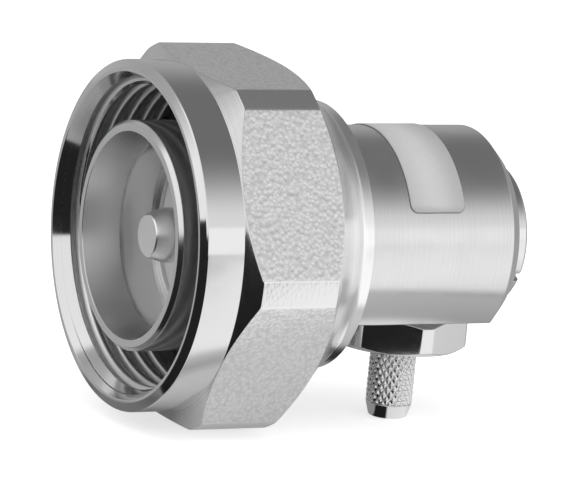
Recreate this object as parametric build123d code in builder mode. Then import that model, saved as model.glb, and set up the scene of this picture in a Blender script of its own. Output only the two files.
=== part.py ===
from build123d import *
import os
from math import cos, radians, sin, tan

# Right angle coaxial plug: a hexagonal coupling nut turns on a drum-shaped housing, and a crimp neck
# leaves the housing at right angles.
# Millimetres. +X is the main axis, from the mating end to the back cap. +Z is up and the crimp neck
# points down. The origin is on the main axis, in the plane where the mating tube comes to rest.

# Coupling nut, outside
across_flats = 32.0
corner_rise = 1.83
nut_turn = 5.1
nut_lead = 0.45
ring_step = 0.05
ring_length = 4.07
lip_chamfer_length = 0.35
lip_chamfer_depth = 0.8
front_chamfer_angle = 30.0
rear_chamfer_angle = 35.0
neck_cone_angle = 45.0
neck_fillet = 3.4
neck_straight = 0.07
neck_wall = 2.24
nut_rear_chamfer = 0.3
nut_tail = 1.67

# Coupling nut, inside
nut_wall = 1.5
thread_depth = 0.8
thread_pitch = 1.5
thread_turns = 4.13
mouth_length = 2.3
mouth_step = 0.35
relief_step = 0.15

# Interface at the mating end
jack_gap = 3.24
sleeve_reach = 7.0
sleeve_wall = 1.76
sleeve_foot_step = 0.34
sleeve_foot_start = 1.0
socket_flare = 0.75
socket_taper_length = 3.76
contact_floor = 0.7
pin_radius = 2.52
pin_setback = 1.93
pin_tip_step = 0.67
pin_tip_chamfer = 0.1
pin_nose_step = 0.06
pin_nose_length = 1.45
pin_nose_end = 1.9

# Fits
running_clearance = 0.08
seat_clearance = 0.02
washer_play = 0.1

# Housing
drum_step = 0.41
drum_rear = 29.0
drum_rear_chamfer = 1.45
collar_clearance = 0.4
collar_front = 2.6
collar_width = 2.4
flat_depth = 3.01
flat_gap_behind_nut = 0.6
spigot_wall = 0.85
spigot_length = 3.4

# Small pieces inside the nut
washer_thickness = 0.48
washer_margin = 0.1
gasket_thickness = 1.4
gasket_margin = 0.2
nut_seal_offset = 1.32
nut_seal_width = 1.2
nut_seal_section = 1.04
ring_groove_offset = 0.9
ring_groove_width = 1.0
ring_groove_depth = 0.8
snap_ring_bite = 0.62
snap_ring_gap = 3.0

# Inner conductor and its insulators
insulator_setback = 0.4
insulator_hub_margin = 0.78
insulator_hub_height = 0.5
pin_seat_step = 0.22
pin_step_setback = 1.4
pin_step_depth = 0.8
stud_radius = 0.9
stud_length = 2.6
stud_hole_spare = 0.4
rear_contact_radius = 1.95
rear_contact_overrun = 2.55
solder_slot_width = 1.1
solder_slot_lead = 0.95
bead_offset = 7.5
bead_length = 2.0

# Back cap
cap_rim_gap = 0.34
cap_height = 2.12
cap_edge_chamfer = 0.3
cap_overhang = 1.1
cap_spigot_length = 3.2
cap_hollow_depth = 1.1
cap_seal_offset = 0.7
cap_seal_width = 0.9
cap_seal_depth = 0.62
cap_slot_width = 0.9
cap_slot_depth = 0.65
cap_slot_angle = 27.0
cap_disc_thickness = 0.8
chamber_step = 1.1

# Crimp neck
neck_setback = 7.25
flange_across_flats = 12.0
flange_corner_rise = 0.63
flange_turn = -2.4
flange_height = 3.41
flange_chamfer_angle = 30.0
flange_top_corner_drop = 0.67
flange_bottom_corner_rise = 0.42
shank_radius = 3.4
shank_length = 2.34
barrel_radius = 2.18
barrel_length = 6.95
barrel_taper_length = 1.3
barrel_tip_step = 0.38
barrel_wall = 0.63
bush_step = 1.0
bush_depth = 2.9
bush_gap_to_contact = 0.25
core_radius = 0.55
neck_seal_margin = 0.77
neck_seal_section = 0.9

# Label
label_offset = 5.13
label_width = 5.7
label_from_angle = -60.0
label_to_angle = 67.5
label_thickness = 0.1
label_corner_radius = 0.8

# Radii that follow from these sizes
flat_radius = across_flats / 2
ring_radius = flat_radius - ring_step
nut_corner_radius = flat_radius + corner_rise
mouth_radius = flat_radius - nut_wall
thread_minor_radius = mouth_radius - thread_depth
relief_radius = mouth_radius + relief_step
sleeve_radius = thread_minor_radius - jack_gap
sleeve_foot_radius = sleeve_radius + sleeve_foot_step
socket_radius = sleeve_radius - sleeve_wall
socket_mouth_radius = socket_radius + socket_flare
line_radius = socket_radius - contact_floor
collar_radius = thread_minor_radius - collar_clearance
drum_radius = sleeve_radius - drum_step
spigot_radius = drum_radius - spigot_wall
nut_bore_radius = drum_radius + running_clearance
neck_radius = nut_bore_radius + neck_wall
snap_ring_radius = nut_bore_radius + snap_ring_bite
ring_groove_radius = drum_radius - ring_groove_depth
flat_drop = drum_radius - flat_depth
cap_radius = flat_drop - cap_rim_gap
cap_spigot_radius = cap_radius - cap_overhang
chamber_radius = cap_spigot_radius - chamber_step
pin_seat_radius = pin_radius - pin_seat_step
pin_step_radius = pin_seat_radius - pin_step_depth
cable_radius = barrel_radius - barrel_wall
bush_radius = shank_radius - bush_step

# Places along the axes that follow from these sizes
nut_front = -sleeve_reach - nut_lead
ring_end = nut_front + ring_length
thread_start = nut_front + mouth_length
thread_end = thread_start + thread_turns * thread_pitch
collar_rear = collar_front + collar_width
shoulder_x = collar_rear + washer_thickness + washer_play
nut_seal_start = shoulder_x + nut_seal_offset
ring_groove_start = nut_seal_start + nut_seal_width + ring_groove_offset
nut_rear = ring_groove_start + ring_groove_width + nut_tail
spigot_end = collar_front + spigot_length
flat_start = nut_rear + flat_gap_behind_nut
pin_tip_x = -sleeve_reach + pin_setback
insulator_hub_x = insulator_setback - insulator_hub_height
pin_step_x = spigot_end - pin_step_setback
bead_x = spigot_end + bead_offset
neck_x = drum_rear - neck_setback
rear_contact_end = neck_x + rear_contact_overrun
cap_spigot_start = drum_rear - cap_spigot_length
flange_bottom = -flat_drop - flange_height
barrel_tip = flange_bottom - barrel_length
label_start = nut_rear + label_offset
neck_plane = Plane(origin=(neck_x, 0, 0), x_dir=(1, 0, 0), z_dir=(0, -1, 0))
neck_axis = Axis((neck_x, 0, 0), (0, 0, 1))

os.makedirs("parts", exist_ok=True)


# Coupling nut: turned from hexagonal bar, so the turned blank and the bar share what is left
corner_step = nut_corner_radius - ring_radius
corner_front = ring_end + corner_step * tan(radians(front_chamfer_angle))
cone_end_x = nut_rear - neck_straight - neck_fillet * tan(radians(neck_cone_angle / 2))
cone_start_x = cone_end_x - (ring_radius - neck_radius) / tan(radians(neck_cone_angle))
corner_rear = cone_start_x - corner_step * tan(radians(rear_chamfer_angle))
nut_groove_play = 0.1
nut_groove_radius = snap_ring_radius + nut_groove_play
with BuildPart() as coupling_nut:
    with BuildSketch(Plane.XZ):
        with BuildLine():
            Polyline(
                (nut_front, mouth_radius + mouth_step),
                (nut_front, ring_radius - lip_chamfer_depth),
                (nut_front + lip_chamfer_length, ring_radius),
                (ring_end, ring_radius),
                (corner_front, nut_corner_radius),
                (corner_rear, nut_corner_radius),
                (cone_start_x, ring_radius),
                (cone_end_x, neck_radius),
                (nut_rear, neck_radius),
                (nut_rear, nut_bore_radius),
                (ring_groove_start + ring_groove_width + nut_groove_play, nut_bore_radius),
                (ring_groove_start + ring_groove_width + nut_groove_play, nut_groove_radius),
                (ring_groove_start - nut_groove_play, nut_groove_radius),
                (ring_groove_start - nut_groove_play, nut_bore_radius),
                (shoulder_x, nut_bore_radius),
                (shoulder_x, relief_radius),
                (thread_end, relief_radius),
                (thread_end, thread_minor_radius),
                (thread_start, thread_minor_radius),
                close=True,
            )
        make_face()
        fillet(vertices().sort_by_distance((cone_end_x, neck_radius))[0], radius=neck_fillet)
        with BuildLine():
            Polyline(
                (nut_rear, neck_radius - nut_rear_chamfer),
                (nut_rear, neck_radius + nut_rear_chamfer),
                (nut_rear - 2 * nut_rear_chamfer, neck_radius + nut_rear_chamfer),
                close=True,
            )
        make_face(mode=Mode.SUBTRACT)
    revolve(axis=Axis.X)
    with BuildSketch(Plane.YZ.offset(nut_front)):
        RegularPolygon(flat_radius, 6, major_radius=False, rotation=nut_turn)
    extrude(amount=nut_rear - nut_front, mode=Mode.INTERSECT)
coupling_nut.part.label = "coupling_nut"

# Split ring that sits in the housing's groove and keeps the nut on
snap_ring_play = 0.05
with BuildPart() as nut_snap_ring:
    with BuildSketch(Plane.YZ.offset(ring_groove_start + snap_ring_play)):
        Circle(snap_ring_radius)
        Circle(ring_groove_radius + snap_ring_play, mode=Mode.SUBTRACT)
        with Locations((0, snap_ring_radius)):
            Rectangle(snap_ring_gap, snap_ring_radius, mode=Mode.SUBTRACT)
    extrude(amount=ring_groove_width - 2 * snap_ring_play)
nut_snap_ring.part.label = "nut_snap_ring"

# Seal between the nut's rear bore and the housing
nut_seal_radius = drum_radius + running_clearance / 2 - nut_seal_section / 2
nut_seal_groove_radius = nut_seal_radius - nut_seal_section / 2
with BuildPart() as nut_o_ring:
    with BuildSketch(Plane.XZ):
        with Locations((nut_seal_start + nut_seal_width / 2, nut_seal_radius)):
            Circle(nut_seal_section / 2)
    revolve(axis=Axis.X)
nut_o_ring.part.label = "nut_o_ring"

# Washer that slides between the collar and the nut's shoulder
with BuildPart() as thrust_washer:
    with BuildSketch(Plane.YZ.offset(collar_rear)):
        Circle(collar_radius - washer_margin)
        Circle(nut_bore_radius, mode=Mode.SUBTRACT)
    extrude(amount=washer_thickness)
thrust_washer.part.label = "thrust_washer"

# Flat gasket round the foot of the sleeve
with BuildPart() as face_gasket:
    with BuildSketch(Plane.YZ.offset(collar_front - gasket_thickness)):
        Circle(collar_radius - gasket_margin)
        Circle(sleeve_foot_radius + seat_clearance, mode=Mode.SUBTRACT)
    extrude(amount=gasket_thickness)
face_gasket.part.label = "face_gasket"

# Outer contact: sleeve in front, spigot that is pressed into the housing behind
sleeve_edge = 0.35
with BuildPart() as outer_contact:
    with BuildSketch(Plane.XZ):
        with BuildLine():
            Polyline(
                (-sleeve_reach, socket_mouth_radius),
                (-sleeve_reach, sleeve_radius - sleeve_edge),
                (-sleeve_reach + sleeve_edge, sleeve_radius),
                (sleeve_foot_start, sleeve_radius),
                (sleeve_foot_start, sleeve_foot_radius),
                (collar_front, sleeve_foot_radius),
                (collar_front, spigot_radius - seat_clearance),
                (spigot_end, spigot_radius - seat_clearance),
                (spigot_end, line_radius),
                (0, line_radius),
                (0, socket_radius),
                (-sleeve_reach + socket_taper_length, socket_radius),
                close=True,
            )
        make_face()
    revolve(axis=Axis.X)
outer_contact.part.label = "outer_contact"

# Front insulator: PTFE disc with a low hub in front and a bore that is stepped like the pin
insulator_radius = line_radius - seat_clearance
insulator_hub_radius = pin_radius + insulator_hub_margin
with BuildPart() as front_insulator:
    with BuildSketch(Plane.XZ):
        with BuildLine():
            Polyline(
                (insulator_hub_x, pin_seat_radius + seat_clearance),
                (insulator_hub_x, insulator_hub_radius),
                (insulator_setback, insulator_hub_radius),
                (insulator_setback, insulator_radius),
                (spigot_end, insulator_radius),
                (spigot_end, pin_step_radius + seat_clearance),
                (pin_step_x, pin_step_radius + seat_clearance),
                (pin_step_x, pin_seat_radius + seat_clearance),
                close=True,
            )
        make_face()
    revolve(axis=Axis.X)
front_insulator.part.label = "front_insulator"

# Centre pin, drawn against the step in the insulator by the rear contact screwed on its stud
with BuildPart() as centre_pin:
    with BuildSketch(Plane.XZ):
        with BuildLine():
            Polyline(
                (pin_tip_x, 0),
                (pin_tip_x, pin_radius - pin_tip_step),
                (pin_tip_x + pin_tip_chamfer, pin_radius - pin_tip_step + pin_tip_chamfer),
                (pin_tip_x + pin_nose_length, pin_radius - pin_nose_step),
                (pin_tip_x + pin_nose_end, pin_radius),
                (insulator_hub_x, pin_radius),
                (insulator_hub_x, pin_seat_radius),
                (pin_step_x, pin_seat_radius),
                (pin_step_x, pin_step_radius),
                (spigot_end, pin_step_radius),
                (spigot_end, stud_radius),
                (spigot_end + stud_length, stud_radius),
                (spigot_end + stud_length, 0),
                close=True,
            )
        make_face()
    revolve(axis=Axis.X)
centre_pin.part.label = "centre_pin"

# Rear contact: takes the stud in front, and the cable's core in its slot behind
stud_hole_depth = stud_length + stud_hole_spare
rear_contact_edge = 0.25
with BuildPart() as rear_contact:
    with BuildSketch(Plane.YZ.offset(spigot_end)):
        Circle(rear_contact_radius)
    extrude(amount=rear_contact_end - spigot_end)
    chamfer(edges().group_by(Axis.X)[-1], length=rear_contact_edge)
    with BuildSketch(Plane.YZ.offset(spigot_end)):
        Circle(stud_radius + seat_clearance)
    extrude(amount=stud_hole_depth, mode=Mode.SUBTRACT)
    with BuildSketch(Plane.XY):
        with Locations(((neck_x - solder_slot_lead + rear_contact_end) / 2, 0)):
            Rectangle(rear_contact_end - neck_x + solder_slot_lead, solder_slot_width)
    extrude(amount=rear_contact_radius, both=True, mode=Mode.SUBTRACT)
rear_contact.part.label = "rear_contact"

# Bead that centres the rear contact in the chamber
with BuildPart() as line_bead:
    with BuildSketch(Plane.YZ.offset(bead_x)):
        Circle(chamber_radius - seat_clearance)
        Circle(rear_contact_radius + seat_clearance, mode=Mode.SUBTRACT)
    extrude(amount=bead_length)
line_bead.part.label = "line_bead"

# Housing: a turned drum with a collar, bored from both ends, with a milled flat and a cross hole
with BuildPart() as angle_housing:
    with BuildSketch(Plane.XZ):
        with BuildLine():
            Polyline(
                (collar_front, spigot_radius),
                (collar_front, collar_radius),
                (collar_rear, collar_radius),
                (collar_rear, drum_radius),
                (nut_seal_start, drum_radius),
                (nut_seal_start, nut_seal_groove_radius),
                (nut_seal_start + nut_seal_width, nut_seal_groove_radius),
                (nut_seal_start + nut_seal_width, drum_radius),
                (ring_groove_start, drum_radius),
                (ring_groove_start, ring_groove_radius),
                (ring_groove_start + ring_groove_width, ring_groove_radius),
                (ring_groove_start + ring_groove_width, drum_radius),
                (drum_rear - drum_rear_chamfer, drum_radius),
                (drum_rear, drum_radius - drum_rear_chamfer),
                (drum_rear, cap_spigot_radius),
                (cap_spigot_start, cap_spigot_radius),
                (cap_spigot_start, chamber_radius),
                (spigot_end, chamber_radius),
                (spigot_end, spigot_radius),
                close=True,
            )
        make_face()
    revolve(axis=Axis.X)
    with BuildSketch(Plane.XY.offset(-flat_drop)):
        with Locations(((flat_start + drum_rear) / 2, 0)):
            Rectangle(drum_rear - flat_start, 2 * drum_radius)
    extrude(amount=-drum_radius, mode=Mode.SUBTRACT)
    with BuildSketch(Plane.XY.offset(-flat_drop)):
        with Locations((neck_x, 0)):
            Circle(shank_radius + seat_clearance)
    extrude(amount=flat_drop, mode=Mode.SUBTRACT)
angle_housing.part.label = "angle_housing"

# Back cap: closes the solder chamber, with a seal round its spigot and a slot across its face
cap_groove_start = drum_rear - cap_seal_offset - cap_seal_width
cap_groove_radius = cap_spigot_radius - cap_seal_depth
cap_hollow_end = cap_spigot_start + cap_hollow_depth
with BuildPart() as back_cap:
    with BuildSketch(Plane.XZ):
        with BuildLine():
            Polyline(
                (cap_spigot_start, chamber_radius),
                (cap_spigot_start, cap_spigot_radius - seat_clearance),
                (cap_groove_start, cap_spigot_radius - seat_clearance),
                (cap_groove_start, cap_groove_radius),
                (cap_groove_start + cap_seal_width, cap_groove_radius),
                (cap_groove_start + cap_seal_width, cap_spigot_radius - seat_clearance),
                (drum_rear, cap_spigot_radius - seat_clearance),
                (drum_rear, cap_radius),
                (drum_rear + cap_height - cap_edge_chamfer, cap_radius),
                (drum_rear + cap_height, cap_radius - cap_edge_chamfer),
                (drum_rear + cap_height, 0),
                (cap_hollow_end, 0),
                (cap_hollow_end, chamber_radius),
                close=True,
            )
        make_face()
    revolve(axis=Axis.X)
    with BuildSketch(Plane.YZ.offset(drum_rear + cap_height)):
        Rectangle(2 * cap_radius, cap_slot_width, rotation=cap_slot_angle)
    extrude(amount=-cap_slot_depth, mode=Mode.SUBTRACT)
back_cap.part.label = "back_cap"

# Seal round the cap's spigot
cap_seal_section = cap_seal_depth - seat_clearance
with BuildPart() as cap_seal:
    with BuildSketch(Plane.XZ):
        with Locations((cap_groove_start + cap_seal_width / 2, cap_groove_radius + cap_seal_section / 2)):
            Circle(cap_seal_section / 2)
    revolve(axis=Axis.X)
cap_seal.part.label = "cap_seal"

# Disc under the cap that keeps the soldered joint off the metal
with BuildPart() as cap_insulator:
    with BuildSketch(Plane.YZ.offset(cap_hollow_end - cap_disc_thickness)):
        Circle(chamber_radius - seat_clearance)
    extrude(amount=cap_disc_thickness)
cap_insulator.part.label = "cap_insulator"

# Crimp neck: shank screwed into the housing, hexagonal flange on the flat, barrel for the braid
chamfer_slope = tan(radians(flange_chamfer_angle))
flange_corner_radius = flange_across_flats / 2 + flange_corner_rise
flange_top_radius = flange_corner_radius - flange_top_corner_drop / chamfer_slope
flange_bottom_radius = flange_corner_radius - flange_bottom_corner_rise / chamfer_slope
shank_top = -flat_drop + shank_length
shank_edge = 0.3
neck_seal_radius = flange_top_radius - neck_seal_margin
neck_groove_half_width = neck_seal_section / 2 + seat_clearance
neck_groove_depth = neck_seal_section + seat_clearance
with BuildPart() as crimp_neck:
    with BuildSketch(neck_plane):
        with BuildLine():
            Polyline(
                (cable_radius, barrel_tip),
                (barrel_radius - barrel_tip_step, barrel_tip),
                (barrel_radius, barrel_tip + barrel_taper_length),
                (barrel_radius, flange_bottom),
                (flange_bottom_radius, flange_bottom),
                (flange_corner_radius, flange_bottom + flange_bottom_corner_rise),
                (flange_corner_radius, -flat_drop - flange_top_corner_drop),
                (flange_top_radius, -flat_drop),
                (neck_seal_radius + neck_groove_half_width, -flat_drop),
                (neck_seal_radius + neck_groove_half_width, -flat_drop - neck_groove_depth),
                (neck_seal_radius - neck_groove_half_width, -flat_drop - neck_groove_depth),
                (neck_seal_radius - neck_groove_half_width, -flat_drop),
                (shank_radius, -flat_drop),
                (shank_radius, shank_top - shank_edge),
                (shank_radius - shank_edge, shank_top),
                (bush_radius, shank_top),
                (bush_radius, shank_top - bush_depth),
                (cable_radius, shank_top - bush_depth),
                close=True,
            )
        make_face()
    revolve(axis=neck_axis)
    with BuildSketch(Plane.XY.offset(barrel_tip)):
        with Locations((neck_x, 0)):
            RegularPolygon(flange_across_flats / 2, 6, major_radius=False, rotation=30 + flange_turn)
    extrude(amount=shank_top - barrel_tip, mode=Mode.INTERSECT)
crimp_neck.part.label = "crimp_neck"

# Bush where the cable's core enters the chamber
with BuildPart() as neck_insulator:
    with BuildSketch(Plane.XY.offset(shank_top - bush_depth)):
        with Locations((neck_x, 0)):
            Circle(bush_radius - seat_clearance)
            Circle(core_radius, mode=Mode.SUBTRACT)
    extrude(amount=-rear_contact_radius - bush_gap_to_contact - shank_top + bush_depth)
neck_insulator.part.label = "neck_insulator"

# Seal under the neck's flange
with BuildPart() as neck_seal:
    with BuildSketch(neck_plane):
        with Locations((neck_seal_radius, -flat_drop - seat_clearance - neck_seal_section / 2)):
            Circle(neck_seal_section / 2)
    revolve(axis=neck_axis)
neck_seal.part.label = "neck_seal"

# Label, wrapped over the drum from its far side to the side that faces -Y
label_radius = drum_radius + seat_clearance
label_start_plane = Plane(
    origin=(0, 0, 0),
    x_dir=(1, 0, 0),
    z_dir=(0, -cos(radians(label_from_angle)), -sin(radians(label_from_angle))),
)
with BuildPart() as label:
    with BuildSketch(label_start_plane):
        with Locations((label_start + label_width / 2, label_radius + label_thickness / 2)):
            Rectangle(label_width, label_thickness)
    revolve(axis=Axis.X, revolution_arc=label_to_angle - label_from_angle)
    short_edges = edges().filter_by(GeomType.LINE).filter_by(lambda e: e.length < 2 * label_thickness)
    fillet(short_edges, radius=label_corner_radius)
label.part.label = "label"

for piece in (
    coupling_nut, nut_snap_ring, nut_o_ring, thrust_washer, face_gasket, outer_contact,
    front_insulator, centre_pin, rear_contact, line_bead, angle_housing, back_cap, cap_seal,
    cap_insulator, crimp_neck, neck_insulator, neck_seal, label,
):
    export_step(piece.part, f"parts/{piece.part.label}.step")
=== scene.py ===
from math import asin, cos, degrees, pi, radians, sin, tan

import bmesh
import bpy
from mathutils import Matrix, Vector


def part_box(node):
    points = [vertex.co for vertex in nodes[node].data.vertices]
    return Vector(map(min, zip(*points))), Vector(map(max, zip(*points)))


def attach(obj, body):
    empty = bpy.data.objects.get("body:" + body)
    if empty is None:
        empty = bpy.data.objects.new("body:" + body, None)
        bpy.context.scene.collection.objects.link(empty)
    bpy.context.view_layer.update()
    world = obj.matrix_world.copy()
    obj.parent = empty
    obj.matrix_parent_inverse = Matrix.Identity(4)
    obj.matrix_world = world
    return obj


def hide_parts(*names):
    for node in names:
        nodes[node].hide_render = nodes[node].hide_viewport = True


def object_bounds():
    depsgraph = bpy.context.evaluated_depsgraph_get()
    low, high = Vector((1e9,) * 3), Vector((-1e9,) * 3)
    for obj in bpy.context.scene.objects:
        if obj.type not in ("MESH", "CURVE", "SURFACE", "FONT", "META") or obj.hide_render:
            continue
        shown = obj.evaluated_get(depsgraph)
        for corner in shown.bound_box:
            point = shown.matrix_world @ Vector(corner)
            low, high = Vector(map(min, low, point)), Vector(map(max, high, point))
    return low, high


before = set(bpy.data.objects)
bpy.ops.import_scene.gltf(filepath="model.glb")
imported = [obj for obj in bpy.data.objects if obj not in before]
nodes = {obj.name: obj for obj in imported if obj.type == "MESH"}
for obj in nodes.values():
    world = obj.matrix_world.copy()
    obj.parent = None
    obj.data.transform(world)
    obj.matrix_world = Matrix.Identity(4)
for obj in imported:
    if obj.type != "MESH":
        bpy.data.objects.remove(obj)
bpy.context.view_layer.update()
scene = bpy.context.scene
scene.view_settings.view_transform = "Standard"


# Studio: a white table with a soft, mostly white room round it. The ceiling is dark, which is what
# gives bright metal its dark bands. The camera is half a metre away with a long lens.
def linear(code):
    """An sRGB hex code as linear red, green, blue and alpha."""
    parts = [int(code[i:i + 2], 16) / 255 for i in (0, 2, 4)]
    return (*[c / 12.92 if c <= 0.04045 else ((c + 0.055) / 1.055) ** 2.4 for c in parts], 1.0)


def add_node(tree, kind, inputs=None, **settings):
    """Adds one node to a tree, with its settings, and its inputs set to values or linked to sockets."""
    node = tree.nodes.new(kind)
    for name, value in settings.items():
        setattr(node, name, value)
    for name, value in (inputs or {}).items():
        if isinstance(value, bpy.types.NodeSocket):
            tree.links.new(value, node.inputs[name])
        else:
            node.inputs[name].default_value = value
    return node


def new_material(name):
    """A material with an empty node tree, and that tree."""
    material = bpy.data.materials.new(name)
    material.use_nodes = True
    material.node_tree.nodes.clear()
    return material, material.node_tree


mm = 0.001
photo_width_px = 572
shift_right_px, shift_up_px = 6.5, 0.3
camera_data = bpy.data.cameras.new("camera")
camera_data.lens = 321.9
camera_data.sensor_width = 36.0
camera_data.shift_x = shift_right_px / photo_width_px
camera_data.shift_y = shift_up_px / photo_width_px
camera_data.clip_start = 0.01
camera_place = Matrix.Translation((-0.21181, -0.40383, 0.09050))
camera_right = Vector((0.88266, -0.46077, 0.09285)).normalized()
camera_back = Vector((-0.46993, -0.86108, 0.19424)).normalized()
camera_up = camera_back.cross(camera_right)
camera = bpy.data.objects.new("camera", camera_data)
camera.matrix_world = camera_place @ Matrix((camera_right, camera_up, camera_back)).transposed().to_4x4()
scene.collection.objects.link(camera)
scene.camera = camera

table_reach = 3.0
table_gap = 0.05
table_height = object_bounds()[0].z - table_gap * mm
table_mesh = bpy.data.meshes.new("table")
table_mesh.from_pydata(
    [(x * table_reach, y * table_reach, table_height) for x, y in ((-1, -1), (1, -1), (1, 1), (-1, 1))],
    [], [(0, 1, 2, 3)],
)
table = bpy.data.objects.new("table", table_mesh)
scene.collection.objects.link(table)

# White paper on the table, plain to the eye. In bright metal it shows a painted reflection instead: a painted
# black patch, painted light to the front and right, and painted shade close to the object and round its neck's
# foot.
# The point, in mm, round which the table's painted reflection and its painted black patch are laid out by
# bearing.
painted_dark_x, painted_dark_y = -12, -5
# The painted shade under the object: its middle along X and its squeeze, and the reach of its levels, in mm.
shade_x, shade_squeeze = 20, 0.625
shade_reach = 180
neck_x = 21.75
foot_reach = (6.5, 8.5)
white_paper, tree = new_material("matt_white_paper")
ground = add_node(tree, "ShaderNodeNewGeometry")
spot = add_node(tree, "ShaderNodeSeparateXYZ", {0: ground.outputs["Position"]})
right_of_painted_dark = add_node(tree, "ShaderNodeMath", {
    0: spot.outputs["X"], 1: painted_dark_x * mm,
}, operation="SUBTRACT")
before_painted_dark = add_node(tree, "ShaderNodeMath", {0: painted_dark_y * mm, 1: spot.outputs["Y"]}, operation="SUBTRACT")
bearing = add_node(tree, "ShaderNodeMath", {
    0: right_of_painted_dark.outputs[0], 1: before_painted_dark.outputs[0],
}, operation="ARCTAN2")
bearing_share = add_node(tree, "ShaderNodeMapRange", {
    "Value": bearing.outputs[0], "From Min": -pi, "From Max": pi,
})
# The table's painted reflection: grey levels by bearing, black in the painted patch and light to the front and
# right.
painted_table_reflection = add_node(tree, "ShaderNodeValToRGB", {0: bearing_share.outputs[0]})
from_foot = add_node(tree, "ShaderNodeMapping", {
    0: ground.outputs["Position"], "Location": (-shade_x * shade_squeeze * mm, 0, 0),
    "Scale": (shade_squeeze, 1, 0),
})
foot_distance = add_node(tree, "ShaderNodeVectorMath", {0: from_foot.outputs[0]}, operation="LENGTH")
near_share = add_node(tree, "ShaderNodeMapRange", {
    "Value": foot_distance.outputs["Value"], "From Min": -shade_reach * mm, "From Max": shade_reach * mm,
})
# The table's painted shade under the object, with a painted dark line round it.
painted_table_shade = add_node(tree, "ShaderNodeValToRGB", {0: near_share.outputs[0]})
painted_shade_mix = add_node(tree, "ShaderNodeMix", {
    0: 1.0, 6: painted_table_reflection.outputs["Color"], 7: painted_table_shade.outputs["Color"],
}, data_type="RGBA", blend_type="MULTIPLY")
# A painted reflection by bearing round the crimp neck's foot, which takes over close to the middle of the painted
# shade.
at_foot = add_node(tree, "ShaderNodeMapping", {
    0: ground.outputs["Position"], "Location": (-neck_x * mm, 0, 0),
})
foot_place = add_node(tree, "ShaderNodeSeparateXYZ", {0: at_foot.outputs[0]})
before_foot = add_node(tree, "ShaderNodeMath", {0: foot_place.outputs["Y"], 1: -1.0}, operation="MULTIPLY")
foot_bearing = add_node(tree, "ShaderNodeMath", {
    0: foot_place.outputs["X"], 1: before_foot.outputs[0],
}, operation="ARCTAN2")
foot_share = add_node(tree, "ShaderNodeMapRange", {
    "Value": foot_bearing.outputs[0], "From Min": -pi, "From Max": pi,
})
painted_foot_reflection = add_node(tree, "ShaderNodeValToRGB", {0: foot_share.outputs[0]})
by_foot = add_node(tree, "ShaderNodeMapRange", {
    "Value": foot_distance.outputs["Value"], "From Min": foot_reach[0] * mm, "From Max": foot_reach[1] * mm,
    "To Min": 1.0, "To Max": 0.0,
})
sheen_mix = add_node(tree, "ShaderNodeMix", {
    0: by_foot.outputs[0], 6: painted_shade_mix.outputs[2], 7: painted_foot_reflection.outputs["Color"],
}, data_type="RGBA")
sheen = sheen_mix.outputs[2]
rays = add_node(tree, "ShaderNodeLightPath")
sheet = add_node(tree, "ShaderNodeBsdfDiffuse", {"Color": linear("ececec")})
lift = add_node(tree, "ShaderNodeEmission", {"Color": linear("ffffff"), "Strength": 0.62})
lifted = add_node(tree, "ShaderNodeAddShader", {0: sheet.outputs[0], 1: lift.outputs[0]})
# For reflections the table glows with the painted reflection and painted shade, though it is no lamp.
sheen_sheet = add_node(tree, "ShaderNodeBsdfDiffuse", {"Color": sheen})
sheen_lift = add_node(tree, "ShaderNodeEmission", {"Color": sheen, "Strength": 1.05})
reflected = add_node(tree, "ShaderNodeMixShader", {
    0: 0.7, 1: sheen_sheet.outputs[0], 2: sheen_lift.outputs[0],
})
seen_directly = add_node(tree, "ShaderNodeMath", {
    0: rays.outputs["Is Camera Ray"], 1: rays.outputs["Is Transmission Ray"],
}, operation="MAXIMUM")
direct_mix = add_node(tree, "ShaderNodeMixShader", {
    0: seen_directly.outputs[0], 1: sheet.outputs[0], 2: lifted.outputs[0],
})
table_mix = add_node(tree, "ShaderNodeMixShader", {
    0: rays.outputs["Is Glossy Ray"], 1: direct_mix.outputs[0], 2: reflected.outputs[0],
})
add_node(tree, "ShaderNodeOutputMaterial", {"Surface": table_mix.outputs[0]})
table_mesh.materials.append(white_paper)

# The room: light walls before the object, dark ones to the left and behind, a cloth that is black low down,
# and a ceiling that darkens overhead. The camera itself sees plain white.
ceiling_starts, ceiling_full = sin(radians(19)), sin(radians(58))
world = bpy.data.worlds.new("studio_room")
world.use_nodes = True
scene.world = world
tree = world.node_tree
tree.nodes.clear()
direction = add_node(tree, "ShaderNodeTexCoord")
parts = add_node(tree, "ShaderNodeSeparateXYZ", {0: direction.outputs["Generated"]})
towards = add_node(tree, "ShaderNodeMath", {0: parts.outputs["Y"], 1: -1.0}, operation="MULTIPLY")
bearing = add_node(tree, "ShaderNodeMath", {
    0: parts.outputs["X"], 1: towards.outputs[0],
}, operation="ARCTAN2")
bearing_share = add_node(tree, "ShaderNodeMapRange", {
    "Value": bearing.outputs[0], "From Min": -pi, "From Max": pi,
})
low_walls = add_node(tree, "ShaderNodeValToRGB", {0: bearing_share.outputs[0]})
high_walls = add_node(tree, "ShaderNodeValToRGB", {0: bearing_share.outputs[0]})
edge_height = add_node(tree, "ShaderNodeValToRGB", {0: bearing_share.outputs[0]})
above_floor = add_node(tree, "ShaderNodeMath", {0: parts.outputs["Z"], 1: 0.2}, operation="ADD")
above_edge = add_node(tree, "ShaderNodeMath", {
    0: above_floor.outputs[0], 1: edge_height.outputs[0],
}, operation="SUBTRACT")
above_cloth = add_node(tree, "ShaderNodeMapRange", {
    "Value": above_edge.outputs[0], "From Min": -0.02, "From Max": 0.02, "To Min": 0.0, "To Max": 1.0,
}, interpolation_type="SMOOTHSTEP")
walls = add_node(tree, "ShaderNodeMix", {
    0: above_cloth.outputs[0], 6: low_walls.outputs["Color"], 7: high_walls.outputs["Color"],
}, data_type="RGBA")
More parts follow.
